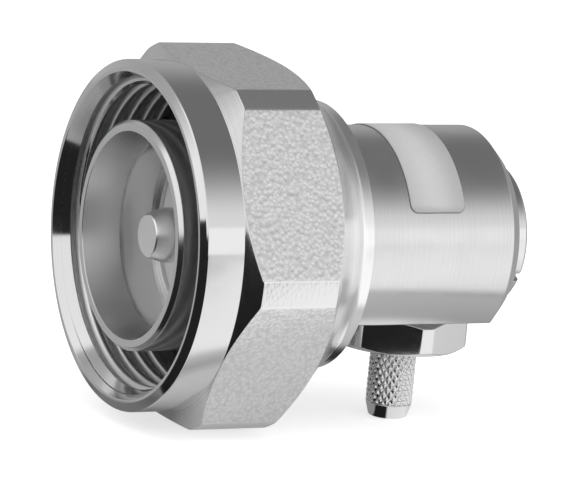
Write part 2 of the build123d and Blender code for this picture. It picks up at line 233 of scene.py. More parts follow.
under_ceiling = add_node(tree, "ShaderNodeMapRange", {
    "Value": parts.outputs["Z"], "From Min": ceiling_starts, "From Max": ceiling_full,
    "To Min": 0.0, "To Max": 1.0,
}, interpolation_type="SMOOTHSTEP")
ceiling_side = add_node(tree, "ShaderNodeMapRange", {
    "Value": parts.outputs["X"], "From Min": 0.05, "From Max": 0.35, "To Min": 0.0, "To Max": 1.0,
}, interpolation_type="SMOOTHSTEP")
dark_ceiling = add_node(tree, "ShaderNodeMath", {
    0: under_ceiling.outputs[0], 1: ceiling_side.outputs[0],
}, operation="MULTIPLY")
room = add_node(tree, "ShaderNodeMix", {
    0: dark_ceiling.outputs[0], 6: walls.outputs[2], 7: (0.18, 0.18, 0.18, 1),
}, data_type="RGBA")
rays = add_node(tree, "ShaderNodeLightPath")
room_seen = add_node(tree, "ShaderNodeMix", {
    0: rays.outputs["Is Camera Ray"], 6: room.outputs[2], 7: (1, 1, 1, 1),
}, data_type="RGBA")
room_light = add_node(tree, "ShaderNodeBackground", {"Color": room_seen.outputs[2], "Strength": 1.1})
add_node(tree, "ShaderNodeOutputWorld", {"Surface": room_light.outputs[0]})

# Grey levels, each at a bearing in degrees round from the front. The table's are painted: its painted reflection,
# its painted shade and the painted reflection round the neck's foot. For the painted shade the place is the
# distance in mm from its middle, and in edge_height the level is the height of the walls' dark part.
for node, stops in (
    (painted_table_reflection, (
        (-180, 0.5), (-150, 0.5), (-131, 0.44), (-126, 0.02), (25.9, 0.02), (27.2, 1.13), (62, 1.18), (80, 0.98),
        (96, 0.7), (108, 0.42), (140, 0.36), (180, 0.45),
    )),
    (painted_table_shade, ((0, 0.6), (18.4, 0.6), (19.8, 0.4), (20.6, 0.4), (22.2, 0.95), (24, 1.0))),
    (painted_foot_reflection, (
        (-180, 0.4), (-86, 0.4), (-79, 0.02), (-36, 0.02), (-29, 1.1), (40, 1.2), (120, 0.7), (180, 0.4),
    )),
    (low_walls, (
        (-180, 0.45), (-150, 0.44), (-131, 0.36), (-124, 0.02), (2, 0.02), (22, 1.05), (62, 1.1), (80, 0.95),
        (96, 0.68), (108, 0.36), (140, 0.3), (180, 0.45),
    )),
    (high_walls, (
        (-180, 0.5), (-150, 0.4), (-132, 0.46), (-114, 1.0), (0, 0.92), (22, 0.86), (62, 0.8), (78, 0.72),
        (92, 0.5), (108, 0.22), (134, 0.28), (146, 0.38), (180, 0.4),
    )),
    (edge_height, (
        (-180, 0.1), (-110, 0.125), (-62, 0.28), (-25, 0.39), (29, 0.46), (100, 0.45), (125, 0.24), (180, 0.1),
    )),
):
    elements = node.color_ramp.elements
    while len(elements) < len(stops):
        elements.new(0.5)
    for element, (place, level) in zip(elements, stops):
        element.position = (place + 180) / 360
        element.color = (level, level, level, 1.0)


def soft_box(name, place, width, height, power):
    """A soft box that faces the object, in metres and watts. Bright metal mirrors only the room, not the box."""
    lamp_data = bpy.data.lights.new(name, "AREA")
    lamp_data.shape = "RECTANGLE"
    lamp_data.size = width
    lamp_data.size_y = height
    lamp_data.energy = power
    lamp = bpy.data.objects.new(name, lamp_data)
    lamp.matrix_world = Matrix.Translation(place) @ Vector(place).to_track_quat("Z", "Y").to_matrix().to_4x4()
    lamp.visible_glossy = False
    scene.collection.objects.link(lamp)


soft_box("top_box", (0.1, -0.25, 0.8), width=0.8, height=0.8, power=1.0)
soft_box("left_box", (-0.7, -0.2, 0.25), width=0.4, height=0.4, power=0.4)


# Angle housing: a drum of white bronze plated brass, turned from bar in one piece with its collar, then
# milled flat underneath where the crimp neck screws in. The tool leaves fine rings round the drum.
corner_points = 4


def ease_corners(corners):
    """Turns corners (along the axis, radius, easing), in mm, into an outline of corner_points for each of them.

    An easing takes less than half of the way to the next corner."""
    outline = []
    for i, (x, r, ease) in enumerate(corners):
        corner = Vector((x, r))
        back = Vector(corners[i - 1][:2]) - corner
        ahead = Vector(corners[(i + 1) % len(corners)][:2]) - corner
        start = corner + back.normalized() * min(ease, 0.45 * back.length)
        end = corner + ahead.normalized() * min(ease, 0.45 * ahead.length)
        for step in range(corner_points):
            t = step / (corner_points - 1)
            outline.append(start * (1 - t) ** 2 + corner * 2 * t * (1 - t) + end * t * t)
    return outline


def turned_mesh(name, outline_at, angles, place=Matrix(), finishes=(), round_within=0.0):
    """Skins closed outlines, one for each angle from +Z towards -Y, into a mesh round the X axis, and places it.

    finishes gives the material number of each corner's face ahead, or 0 where it has none. Corners up to
    round_within from the axis, in mm, are spaced evenly round it."""
    touching = 0.0001 * mm
    bm = bmesh.new()
    rings = []
    for i, angle in enumerate(angles):
        corners = outline_at(angle)
        even = angles[0] + 360 * i / len(angles)
        ring = []
        for j, point in enumerate(ease_corners(corners)):
            around = radians(even if corners[j // corner_points][1] <= round_within else angle)
            ring.append(bm.verts.new((point.x * mm, -point.y * mm * sin(around), point.y * mm * cos(around))))
        rings.append(ring)
    for i, ring in enumerate(rings):
        following = rings[(i + 1) % len(rings)]
        for j in range(len(ring)):
            k = (j + 1) % len(ring)
            face = bm.faces.new((ring[j], ring[k], following[k], following[j]))
            face.smooth = True
            corner, step = divmod(j, corner_points)
            if step < corner_points - 1:
                corner = max(corner - 1, 0)
            face.material_index = finishes[corner] if corner < len(finishes) else 0
    bmesh.ops.remove_doubles(bm, verts=bm.verts, dist=touching)
    bmesh.ops.recalc_face_normals(bm, faces=bm.faces)
    bm.transform(place)
    mesh = bpy.data.meshes.new(name)
    bm.to_mesh(mesh)
    bm.free()
    return mesh


def finish_piece(name, mesh, materials, body, slot, *replaced):
    """Makes the object with its normals weighted by face area, and says what it rides on and replaces.

    The weighting leaves out areas as small as these are in square metres, so it's done on the mesh in mm."""
    mesh.transform(Matrix.Scale(1 / mm, 4))
    rough = bpy.data.objects.new(name + "_rough", mesh)
    scene.collection.objects.link(rough)
    for material in materials:
        rough.data.materials.append(material)
    weighting = rough.modifiers.new("weighting", "WEIGHTED_NORMAL")
    weighting.weight = 90
    graph = bpy.context.evaluated_depsgraph_get()
    done = bpy.data.meshes.new_from_object(rough.evaluated_get(graph), depsgraph=graph)
    done.name = name
    done.transform(Matrix.Scale(mm, 4))
    bpy.data.objects.remove(rough)
    piece = bpy.data.objects.new(name, done)
    scene.collection.objects.link(piece)
    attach(piece, body)
    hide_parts(*replaced)
    return piece


def even_angles(count):
    """Angles in degrees, evenly spaced all the way round."""
    return [360 * i / count for i in range(count)]


def turned_plating(name, colour, roughness, ring_spacing, ring_height, upright=None, wander=0.04):
    """Bright plating over turned brass. The tool's rings follow the axis and every shoulder and cone.

    ring_spacing and ring_height are in mm. The tool's real feed, about 0.05 mm, is too fine to show, so the
    rings are drawn wider. upright is the place in mm of a vertical axis, None for the main axis. wander is how
    far the roughness strays from patch to patch, where hands and cloths have touched the metal."""
    patch_size = 4.545
    shoulder_share = 0.63
    material, tree = new_material(name)
    place = add_node(tree, "ShaderNodeTexCoord")
    along = place.outputs["Object"]
    if upright is not None:
        moved = add_node(tree, "ShaderNodeMapping", {0: along, "Location": (-upright * mm, 0, 0)})
        turned = add_node(tree, "ShaderNodeMapping", {0: moved.outputs[0], "Rotation": (0, radians(90), 0)})
        along = turned.outputs[0]
    split = add_node(tree, "ShaderNodeSeparateXYZ", {0: along})
    across = add_node(tree, "ShaderNodeCombineXYZ", {"Y": split.outputs["Y"], "Z": split.outputs["Z"]})
    radius = add_node(tree, "ShaderNodeVectorMath", {0: across.outputs[0]}, operation="LENGTH")
    slanted = add_node(tree, "ShaderNodeMath", {
        0: radius.outputs["Value"], 1: shoulder_share, 2: split.outputs["X"],
    }, operation="MULTIPLY_ADD")
    path = add_node(tree, "ShaderNodeMath", {
        0: slanted.outputs[0], 1: 1 / (ring_spacing * mm),
    }, operation="MULTIPLY")
    rings = add_node(tree, "ShaderNodeTexNoise", {
        "W": path.outputs[0], "Scale": 1.0, "Detail": 3.0, "Roughness": 0.6,
    }, noise_dimensions="1D")
    handling = add_node(tree, "ShaderNodeTexNoise", {
        "Vector": place.outputs["Object"], "Scale": 1 / (patch_size * mm), "Detail": 4.0, "Roughness": 0.55,
    })
    patches = add_node(tree, "ShaderNodeMapRange", {
        "Value": handling.outputs["Fac"], "From Min": 0.35, "From Max": 0.65,
        "To Min": roughness - wander, "To Max": roughness + wander,
    })
    streaks = add_node(tree, "ShaderNodeMapRange", {
        "Value": rings.outputs["Fac"], "From Min": 0.3, "From Max": 0.7, "To Min": 0.94, "To Max": 1.0,
    })
    tone = add_node(tree, "ShaderNodeMix", {
        0: streaks.outputs[0], 6: (0, 0, 0, 1), 7: linear(colour),
    }, data_type="RGBA")
    relief = add_node(tree, "ShaderNodeBump", {
        "Height": rings.outputs["Fac"], "Strength": 1.0, "Distance": ring_height * mm,
    })
    metal = add_node(tree, "ShaderNodeBsdfPrincipled", {
        "Base Color": tone.outputs[2], "Metallic": 1.0, "Roughness": patches.outputs[0],
        "Normal": relief.outputs[0],
    })
    add_node(tree, "ShaderNodeOutputMaterial", {"Surface": metal.outputs[0]})
    return material


housing_front, drum_rear = [corner.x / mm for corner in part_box("angle_housing")]
drum_radius = 10.05
drum_rear_radius = 8.6
collar_rear, collar_radius = 5.0, 13.3
clip_groove = (6.9, 8.1, 9.0)  # start, end and the radius of its floor, as in the other grooves
seal_groove = (9.0, 10.0, 9.25)
seat_rear, seat_radius = 6.0, 9.2
line_radius = 4.5
cap_seat, cap_seat_radius = 25.8, 5.6
flat_start, flat_drop = 12.27, 7.04


def housing_outline(angle):
    """The housing's corners at this angle. Underneath, the milled flat cuts them short."""
    from_top = abs((angle + 180) % 360 - 180)
    to_flat = flat_drop / cos(radians(180 - from_top)) if from_top > 90 else drum_radius
    drum = min(drum_radius, to_flat)
    rear = min(drum_rear_radius, to_flat)
    chamfer = drum - rear if drum > rear else 0.02
    return [
        (housing_front, seat_radius, 0.03), (housing_front, collar_radius, 0.15),
        (collar_rear, collar_radius, 0.15), (collar_rear, drum_radius, 0.05),
        (clip_groove[0], drum_radius, 0.03), (clip_groove[0], clip_groove[2], 0.03),
        (clip_groove[1], clip_groove[2], 0.03), (clip_groove[1], drum_radius, 0.03),
        (seal_groove[0], drum_radius, 0.03), (seal_groove[0], seal_groove[2], 0.03),
        (seal_groove[1], seal_groove[2], 0.03), (seal_groove[1], drum_radius, 0.03),
        (flat_start, drum_radius, 0.06), (flat_start, drum, 0.06), (drum_rear - chamfer, drum, 0.1),
        (drum_rear, rear, 0.08), (drum_rear, cap_seat_radius, 0.04), (cap_seat, cap_seat_radius, 0.04),
        (cap_seat, line_radius, 0.04), (seat_rear, line_radius, 0.04), (seat_rear, seat_radius, 0.04),
    ]


# Turned and left as it came off the tool: a soft mirror, drawn out into bands along the drum.
housing_plating = turned_plating(
    "turned_white_bronze", "dcdcdc", roughness=0.23, ring_spacing=0.12, ring_height=0.004,
)
flat_edges = [degrees(pi / 2 - asin(flat_drop / radius)) for radius in (drum_radius, drum_rear_radius)]
housing_angles = sorted(even_angles(288) + [180 + side * edge for side in (1, -1) for edge in flat_edges])
housing = turned_mesh("housing", housing_outline, housing_angles)
finish_piece("housing_turned", housing, [housing_plating], "body", "housing_plating", "angle_housing")


# Outer contact: a silver plated brass sleeve, pressed into the front of the housing. Its socket is bored with
# a taper, and the rim of the sleeve is faced off bright.
sleeve_front, sleeve_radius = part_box("outer_contact")[0].x / mm, 10.46
mouth_radius, socket_radius, taper_rear = 9.45, 8.7, -3.24
rim_chamfer = 0.35
foot_front, foot_radius = 1.0, 10.8
disc_seat_radius = 8.0
press_gap = 0.02

# Silver over a fine cut: a clean, pale grey. The taper was reamed, which left it duller.
contact_silver = turned_plating(
    "turned_silver_plate", "dedede", roughness=0.2, ring_spacing=0.11, ring_height=0.0018,
)
socket_silver = turned_plating(
    "reamed_silver_plate", "e6e6e6", roughness=0.31, ring_spacing=0.11, ring_height=0.002, wander=0.02,
)
sleeve_silvers = [contact_silver, socket_silver]
sleeve_finishes = [0] * 11 + [1]
sleeve = turned_mesh("sleeve", lambda angle: [
    (sleeve_front, mouth_radius, 0.06), (sleeve_front, sleeve_radius - rim_chamfer, 0.07),
    (sleeve_front + rim_chamfer, sleeve_radius, 0.07), (foot_front, sleeve_radius, 0.04),
    (foot_front, foot_radius, 0.04), (housing_front, foot_radius, 0.04),
    (housing_front, seat_radius - press_gap, 0.04), (seat_rear, seat_radius - press_gap, 0.04),
    (seat_rear, disc_seat_radius, 0.04), (0.0, disc_seat_radius, 0.06), (0.0, socket_radius, 0.05),
    (taper_rear, socket_radius, 0.3),
], even_angles(256), finishes=sleeve_finishes)
finish_piece("outer_contact_turned", sleeve, sleeve_silvers, "body", "contact_plating", "outer_contact")


# Centre pin: turned brass with silver plating, held by the insulator's hub and screwed into the rear contact.
# The tip is faced flat, and a slender nose behind it leads the pin into its socket.
pin_front, pin_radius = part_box("centre_pin")[0].x / mm, 2.52
tip_step, tip_chamfer = 0.67, 0.1
nose_step, nose_length, nose_end = 0.06, 1.45, 1.9
hub_front, hub_radius, shank_radius = -0.1, 3.3, 2.3
stem_front, stem_radius = 4.6, 1.5
screw_rear, screw_radius = 8.6, 0.9

# Silver that was barrel plated: bright and even, with next to no tool marks.
pin_silver = turned_plating(
    "barrel_silver_plate", "f4f4f4", roughness=0.3, ring_spacing=0.1, ring_height=0.002, wander=0.015,
)
pin = turned_mesh("pin", lambda angle: [
    (pin_front, 0.0, 0.01), (pin_front, pin_radius - tip_step, 0.02),
    (pin_front + tip_chamfer, pin_radius - tip_step + tip_chamfer, 0.02),
    (pin_front + nose_length, pin_radius - nose_step, 0.4), (pin_front + nose_end, pin_radius, 0.3),
    (hub_front, pin_radius, 0.03), (hub_front, shank_radius, 0.03), (stem_front, shank_radius, 0.03),
    (stem_front, stem_radius, 0.03), (seat_rear, stem_radius, 0.03), (seat_rear, screw_radius, 0.03),
    (screw_rear, screw_radius, 0.05), (screw_rear, 0.0, 0.01),
], even_angles(96))
finish_piece("centre_pin_turned", pin, [pin_silver], "body", "contact_plating", "centre_pin")


# Front insulator: a disc of white PTFE, turned from rod and pressed into the sleeve from behind, where it
# carries the pin. The bead, the cap's disc and the neck's bush are turned from the same stock.
pin_gap = 0.03
disc_front = 0.4

# PTFE scatters light a little below its waxy face, so it looks soft. Its tool rings are drawn wider than the
# real ones, to show at all.
ptfe_ring_spacing, ptfe_ring_height = 0.12, 0.004
cloud_size = 3.333
ptfe, tree = new_material("turned_ptfe")
place = add_node(tree, "ShaderNodeTexCoord")
split = add_node(tree, "ShaderNodeSeparateXYZ", {0: place.outputs["Object"]})
across = add_node(tree, "ShaderNodeCombineXYZ", {"Y": split.outputs["Y"], "Z": split.outputs["Z"]})
radius = add_node(tree, "ShaderNodeVectorMath", {0: across.outputs[0]}, operation="LENGTH")
path = add_node(tree, "ShaderNodeMath", {
    0: radius.outputs["Value"], 1: 1 / (ptfe_ring_spacing * mm),
}, operation="MULTIPLY")
rings = add_node(tree, "ShaderNodeTexNoise", {
    "W": path.outputs[0], "Scale": 1.0, "Detail": 2.0,
}, noise_dimensions="1D")
relief = add_node(tree, "ShaderNodeBump", {
    "Height": rings.outputs["Fac"], "Strength": 1.0, "Distance": ptfe_ring_height * mm,
})
cloud = add_node(tree, "ShaderNodeTexNoise", {
    "Vector": place.outputs["Object"], "Scale": 1 / (cloud_size * mm), "Detail": 3.0,
})
tone = add_node(tree, "ShaderNodeMix", {
    0: cloud.outputs["Fac"], 6: linear("d0d0d0"), 7: linear("dadada"),
}, data_type="RGBA")
wax = add_node(tree, "ShaderNodeBsdfPrincipled", {
    "Base Color": tone.outputs[2], "Roughness": 0.42, "IOR": 1.35, "Subsurface Weight": 0.25,
    "Subsurface Radius": (0.0012, 0.0011, 0.001), "Subsurface Scale": 1.0, "Normal": relief.outputs[0],
})
add_node(tree, "ShaderNodeOutputMaterial", {"Surface": wax.outputs[0]})
disc = turned_mesh("disc", lambda angle: [
    (hub_front, shank_radius + pin_gap, 0.03), (hub_front, hub_radius, 0.1), (disc_front, hub_radius, 0.08),
    (disc_front, disc_seat_radius - press_gap, 0.05), (seat_rear, disc_seat_radius - press_gap, 0.05),
    (seat_rear, stem_radius + pin_gap, 0.04), (stem_front, stem_radius + pin_gap, 0.04),
    (stem_front, shank_radius + pin_gap, 0.04),
], even_angles(128))
finish_piece("front_insulator_turned", disc, [ptfe], "body", "ptfe", "front_insulator")


def dress(node, material):
    """Gives a CAD node that keeps its own shape its material."""
    nodes[node].data.materials.clear()
    nodes[node].data.materials.append(material)


for node in ("line_bead", "cap_insulator", "neck_insulator"):
    dress(node, ptfe)
dress("rear_contact", contact_silver)


# Seals: black silicone rubber, moulded, with a dull skin. The face gasket lies round the foot of the
# sleeve, and the O-rings are sprung into their grooves.
skin_size, skin_height = 0.25, 0.01

# The mould's fine spark texture gives the rubber a matt, slightly dusty black.
seal_rubber, tree = new_material("moulded_silicone")
place = add_node(tree, "ShaderNodeTexCoord")
skin = add_node(tree, "ShaderNodeTexNoise", {
    "Vector": place.outputs["Object"], "Scale": 1 / (skin_size * mm), "Detail": 3.0,
})
relief = add_node(tree, "ShaderNodeBump", {
    "Height": skin.outputs["Fac"], "Strength": 0.6, "Distance": skin_height * mm,
})
dust = add_node(tree, "ShaderNodeMix", {
    0: skin.outputs["Fac"], 6: linear("17181a"), 7: linear("2a2b2d"),
}, data_type="RGBA")
rubber = add_node(tree, "ShaderNodeBsdfPrincipled", {
    "Base Color": dust.outputs[2], "Roughness": 0.68, "IOR": 1.43, "Normal": relief.outputs[0],
})
add_node(tree, "ShaderNodeOutputMaterial", {"Surface": rubber.outputs[0]})
for node in ("face_gasket", "nut_o_ring", "cap_seal", "neck_seal"):
    dress(node, seal_rubber)


# Thrust washer and snap ring: spring bronze, stamped and coiled from plain strip and slipped into place
# round the housing. They aren't plated, so they keep the yellow metal's own colour and its drawn lines.
spring_bronze = turned_plating(
    "drawn_spring_bronze", "c9a05c", roughness=0.34, ring_spacing=0.2, ring_height=0.002,
)
for node in ("thrust_washer", "nut_snap_ring"):
    dress(node, spring_bronze)


# Crimp neck: one turned piece of plated brass that screws up into the housing. Its flange was left hexagonal
# for a spanner, and its barrel is rolled with a diamond knurl to grip the cable's braid.
def hexagon_limit(angle, corner_angle, apothem, corner_radius, softness):
    """The radius of a hexagonal bar with turned corners, with the long edges eased by softness, in mm."""
    from_flat = (angle - corner_angle) % 60 - 30
    flat = apothem / cos(radians(from_flat))
    near = max(softness - abs(flat - corner_radius), 0) / softness
    return min(flat, corner_radius) - near * near * softness / 4


def hexagon_angles(corner_angle, edge):
    """Angles that crowd at the long edges of the six flats, edge degrees from each flat's middle."""
    crowd = (-0.35, -0.15, 0.0, 0.15, 0.35, 0.7)
    past_edge = edge + crowd[-1]
    by_corner = 29.999
    half = [edge * i / 18 for i in range(18)] + [edge + step for step in crowd]
    half += [past_edge + (by_corner - past_edge) * i / 4 for i in (1, 2, 3)]
    sector = sorted({-a for a in half} | set(half) | {-30})
    return [corner_angle + 30 + 60 * s + a for s in range(6) for a in sector]


neck_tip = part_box("crimp_neck")[0].z / mm
tip_radius = 1.8
barrel_start, barrel_root, barrel_end = -16.1, -10.7, -10.65
barrel_radius, core_radius, root_radius = 2.17, 1.98, 2.1
flange_bottom, flange_top = -10.45, -flat_drop
flange_half_width, flange_corner_radius = 6.0, 6.62
flange_bottom_radius, flange_top_radius = 5.9, 5.47
flange_corner, flange_edge, flange_cone = 87.6, 24.9, 30
shank_top, shank_outer = -4.7, 3.4
bush_seat, bush_radius = -7.6, 2.4
cable_radius = 1.55
neck_place = Matrix.Translation((neck_x * mm, 0, 0)) @ Matrix.Rotation(radians(-90), 4, "Y")


def neck_outline(angle):
    """The neck's corners at this angle, along its axis from the tip of the barrel up.

    Both ends of the flange are coned, which gives the hexagon its curved edges."""
    hexagon = hexagon_limit(angle, flange_corner, flange_half_width, flange_corner_radius, softness=0.1)
    slope = tan(radians(flange_cone))
    top = flange_top - (hexagon - flange_top_radius) * slope
    bottom = flange_bottom + (hexagon - flange_bottom_radius) * slope
    return [
        (neck_tip, cable_radius, 0.05), (neck_tip, tip_radius, 0.1), (barrel_start, barrel_radius, 0.2),
        (barrel_start + 0.05, core_radius, 0.02), (barrel_root, core_radius, 0.02),
        (barrel_end, root_radius, 0.05), (flange_bottom, root_radius, 0.05),
        (flange_bottom, flange_bottom_radius, 0.05), (bottom, hexagon, 0.06), (top, hexagon, 0.06),
        (flange_top, flange_top_radius, 0.05), (flange_top, shank_outer, 0.05),
        (shank_top, shank_outer, 0.1), (shank_top, bush_radius, 0.05), (bush_seat, bush_radius, 0.05),
        (bush_seat, cable_radius, 0.05),
    ]


# Bright plating on a fine cut: the flange's facets mirror the studio whole, dark or white.
neck_plating = turned_plating(
    "bright_white_bronze", "dedede", roughness=0.06, ring_spacing=0.07, ring_height=0.0004,
    upright=neck_x, wander=0.02,
)
neck_angles = hexagon_angles(flange_corner, flange_edge)
neck = turned_mesh("neck", neck_outline, neck_angles, neck_place, round_within=flange_bottom_radius)

# The knurl: diamonds in a helical lattice, pressed by two crossed wheels, drawn as a grid of points that is
# wrapped round the barrel and sunk along both sets of grooves.
knurl_tree = bpy.data.node_groups.new("diamond_knurl", "GeometryNodeTree")
knurl_tree.interface.new_socket("Geometry", in_out="OUTPUT", socket_type="NodeSocketGeometry")
for label_text, kind, value in (
    ("Radius", "NodeSocketFloat", 2.18), ("Length", "NodeSocketFloat", 6.0),
    ("Depth", "NodeSocketFloat", 0.18), ("Land", "NodeSocketFloat", 0.72),
    ("Diamonds Around", "NodeSocketInt", 20), ("Diamonds Along", "NodeSocketFloat", 5.6),
    ("End Step", "NodeSocketFloat", 0.25), ("Finish", "NodeSocketMaterial", None),
):
    socket = knurl_tree.interface.new_socket(label_text, in_out="INPUT", socket_type=kind)
    if value is not None:
        socket.default_value = value
sizes = add_node(knurl_tree, "NodeGroupInput").outputs
grid = add_node(knurl_tree, "GeometryNodeMeshGrid", {
    "Size X": 1.0, "Size Y": 1.0, "Vertices X": 217, "Vertices Y": 85,
})
here = add_node(knurl_tree, "GeometryNodeInputPosition")
unit = add_node(knurl_tree, "ShaderNodeVectorMath", {0: here.outputs[0], 1: (0.5, 0.5, 0)}, operation="ADD")
flat_place = add_node(knurl_tree, "ShaderNodeSeparateXYZ", {0: unit.outputs[0]})
turns = add_node(knurl_tree, "ShaderNodeMath", {
    0: flat_place.outputs["X"], 1: sizes["Diamonds Around"],
}, operation="MULTIPLY")
steps = add_node(knurl_tree, "ShaderNodeMath", {
    0: flat_place.outputs["Y"], 1: sizes["Diamonds Along"],
}, operation="MULTIPLY")
heights = []
for operation in ("ADD", "SUBTRACT"):
    helix = add_node(knurl_tree, "ShaderNodeMath", {
        0: turns.outputs[0], 1: steps.outputs[0],
    }, operation=operation)
    fold = add_node(knurl_tree, "ShaderNodeMath", {0: helix.outputs[0], 1: 0.5}, operation="PINGPONG")
    heights.append(add_node(knurl_tree, "ShaderNodeMath", {0: fold.outputs[0], 1: 2.0}, operation="MULTIPLY"))
lower = add_node(knurl_tree, "ShaderNodeMath", {
    0: heights[0].outputs[0], 1: heights[1].outputs[0],
}, operation="MINIMUM")
peak = add_node(knurl_tree, "ShaderNodeMath", {
    0: lower.outputs[0], 1: sizes["Land"],
}, operation="DIVIDE", use_clamp=True)
sunk = add_node(knurl_tree, "ShaderNodeMath", {0: 1.0, 1: peak.outputs[0]}, operation="SUBTRACT")
cut = add_node(knurl_tree, "ShaderNodeMath", {0: sunk.outputs[0], 1: sizes["Depth"]}, operation="MULTIPLY")
reach = add_node(knurl_tree, "ShaderNodeMath", {0: sizes["Radius"], 1: cut.outputs[0]}, operation="SUBTRACT")
from_end = add_node(knurl_tree, "ShaderNodeMath", {0: flat_place.outputs["Y"], 1: 0.5}, operation="PINGPONG")
at_end = add_node(knurl_tree, "ShaderNodeMath", {0: from_end.outputs[0], 1: 0.001}, operation="LESS_THAN")
step_in = add_node(knurl_tree, "ShaderNodeMath", {
    0: at_end.outputs[0], 1: sizes["End Step"],
}, operation="MULTIPLY")
shell = add_node(knurl_tree, "ShaderNodeMath", {
    0: reach.outputs[0], 1: step_in.outputs[0],
}, operation="SUBTRACT")
around = add_node(knurl_tree, "ShaderNodeMath", {0: flat_place.outputs["X"], 1: 2 * pi}, operation="MULTIPLY")
cosine = add_node(knurl_tree, "ShaderNodeMath", {0: around.outputs[0]}, operation="COSINE")
sine = add_node(knurl_tree, "ShaderNodeMath", {0: around.outputs[0]}, operation="SINE")
side = add_node(knurl_tree, "ShaderNodeMath", {
    0: cosine.outputs[0], 1: shell.outputs[0],
}, operation="MULTIPLY")
depth = add_node(knurl_tree, "ShaderNodeMath", {
    0: sine.outputs[0], 1: shell.outputs[0],
}, operation="MULTIPLY")
rise = add_node(knurl_tree, "ShaderNodeMath", {
    0: flat_place.outputs["Y"], 1: sizes["Length"],
}, operation="MULTIPLY")
wrapped = add_node(knurl_tree, "ShaderNodeCombineXYZ", {
    "X": side.outputs[0], "Y": depth.outputs[0], "Z": rise.outputs[0],
})
rolled = add_node(knurl_tree, "GeometryNodeSetPosition", {
    "Geometry": grid.outputs["Mesh"], "Position": wrapped.outputs[0],
})
closed = add_node(knurl_tree, "GeometryNodeMergeByDistance", {
    "Geometry": rolled.outputs[0], "Distance": 0.0005,
})
real = add_node(knurl_tree, "GeometryNodeRealizeInstances", {"Geometry": closed.outputs[0]})
plated = add_node(knurl_tree, "GeometryNodeSetMaterial", {
    "Geometry": real.outputs[0], "Material": sizes["Finish"],
})
add_node(knurl_tree, "NodeGroupOutput", {0: plated.outputs[0]})


def grown_mesh(tree, values):
    """The plain mesh that a node tree gives for these input values."""
    seed_mesh = bpy.data.meshes.new(tree.name + "_seed")
    seed = bpy.data.objects.new(tree.name + "_seed", seed_mesh)
    scene.collection.objects.link(seed)
    modifier = seed.modifiers.new("grown", "NODES")
    modifier.node_group = tree
    for item in tree.interface.items_tree:
        if item.in_out == "INPUT" and item.name in values:
            modifier[item.identifier] = values[item.name]
    graph = bpy.context.evaluated_depsgraph_get()
    mesh = bpy.data.meshes.new_from_object(seed.evaluated_get(graph), depsgraph=graph)
    bpy.data.objects.remove(seed)
    return mesh


def joined_mesh(name, base, addition, place, materials):
    """Adds a second mesh, in mm, to a first one in metres, at a place, and closes it where its ends are open.

    materials is the list of the first one's."""
    bm = bmesh.new()
    bm.from_mesh(base)
    before = len(bm.faces)
    numbers = [materials.index(material) if material else 0 for material in addition.materials]
    addition.transform(place @ Matrix.Diagonal((mm, mm, mm, 1)))
    bm.from_mesh(addition)
    bm.faces.ensure_lookup_table()
    for face in bm.faces[before:]:
        face.smooth = True
        face.material_index = numbers[face.material_index]
    open_ends = [edge for edge in bm.edges if edge.is_boundary]
    if open_ends:
        bmesh.ops.bridge_loops(bm, edges=open_ends)
        bmesh.ops.recalc_face_normals(bm, faces=bm.faces)
    mesh = bpy.data.meshes.new(name)
    bm.to_mesh(mesh)
    bm.free()
    return mesh


knurl_start, knurl_length = -16.12, 5.6
knurl = grown_mesh(knurl_tree, {"Length": knurl_length, "Finish": neck_plating})
knurl_place = Matrix.Translation((neck_x * mm, 0, knurl_start * mm))
neck = joined_mesh("neck_knurled", neck, knurl, knurl_place, [neck_plating])
finish_piece("crimp_neck_turned", neck, [neck_plating], "body", "neck_plating", "crimp_neck")


# Back cap: plated brass, polished on its rim, with an O-ring round its spigot. It is pushed into the housing
# over the solder chamber, and the slot across it takes a driver's blade.
cap_rear, cap_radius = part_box("back_cap")[1].x / mm, 6.7
cap_chamfer = 0.3
cap_floor = 27.0
cap_groove = (27.4, 28.3, 4.98)
spigot_radius = cap_seat_radius - press_gap
slot_width, slot_depth, slot_angle = 0.9, 0.65, 27
blade_length = 16

# Polished plating: a clear mirror whose rings hardly show.
cap_plating = turned_plating(
    "polished_white_bronze", "e0e0e0", roughness=0.09, ring_spacing=0.1, ring_height=0.0006,
)
cap = turned_mesh("cap", lambda angle: [
    (cap_floor, 0.0, 0.01), (cap_floor, line_radius, 0.03), (cap_seat, line_radius, 0.03),
    (cap_seat, spigot_radius, 0.05), (cap_groove[0], spigot_radius, 0.03),
    (cap_groove[0], cap_groove[2], 0.03), (cap_groove[1], cap_groove[2], 0.03),
    (cap_groove[1], spigot_radius, 0.03), (drum_rear, spigot_radius, 0.03),
    (drum_rear, cap_radius, 0.05), (cap_rear - cap_chamfer, cap_radius, 0.06),
    (cap_rear, cap_radius - cap_chamfer, 0.06), (cap_rear, 0.0, 0.01),
], even_angles(192))
cap_rough = bpy.data.objects.new("cap_rough", cap)
scene.collection.objects.link(cap_rough)
blade_mesh = bpy.data.meshes.new("blade")
bm = bmesh.new()
bmesh.ops.create_cube(bm, size=1.0)
bm.transform(
    Matrix.Rotation(radians(slot_angle), 4, "X") @ Matrix.Translation((cap_rear * mm, 0, 0))
    @ Matrix.Diagonal((2 * slot_depth * mm, blade_length * mm, slot_width * mm, 1))
)
bm.to_mesh(blade_mesh)
bm.free()
blade = bpy.data.objects.new("blade", blade_mesh)
scene.collection.objects.link(blade)
cutting = cap_rough.modifiers.new("cutting", "BOOLEAN")
cutting.object = blade
cutting.operation = "DIFFERENCE"
cutting.solver = "EXACT"
easing = cap_rough.modifiers.new("easing", "BEVEL")
easing.width = 0.05 * mm
easing.segments = 2
easing.limit_method = "ANGLE"
easing.angle_limit = radians(50)
graph = bpy.context.evaluated_depsgraph_get()
cap_cut = bpy.data.meshes.new_from_object(cap_rough.evaluated_get(graph), depsgraph=graph)
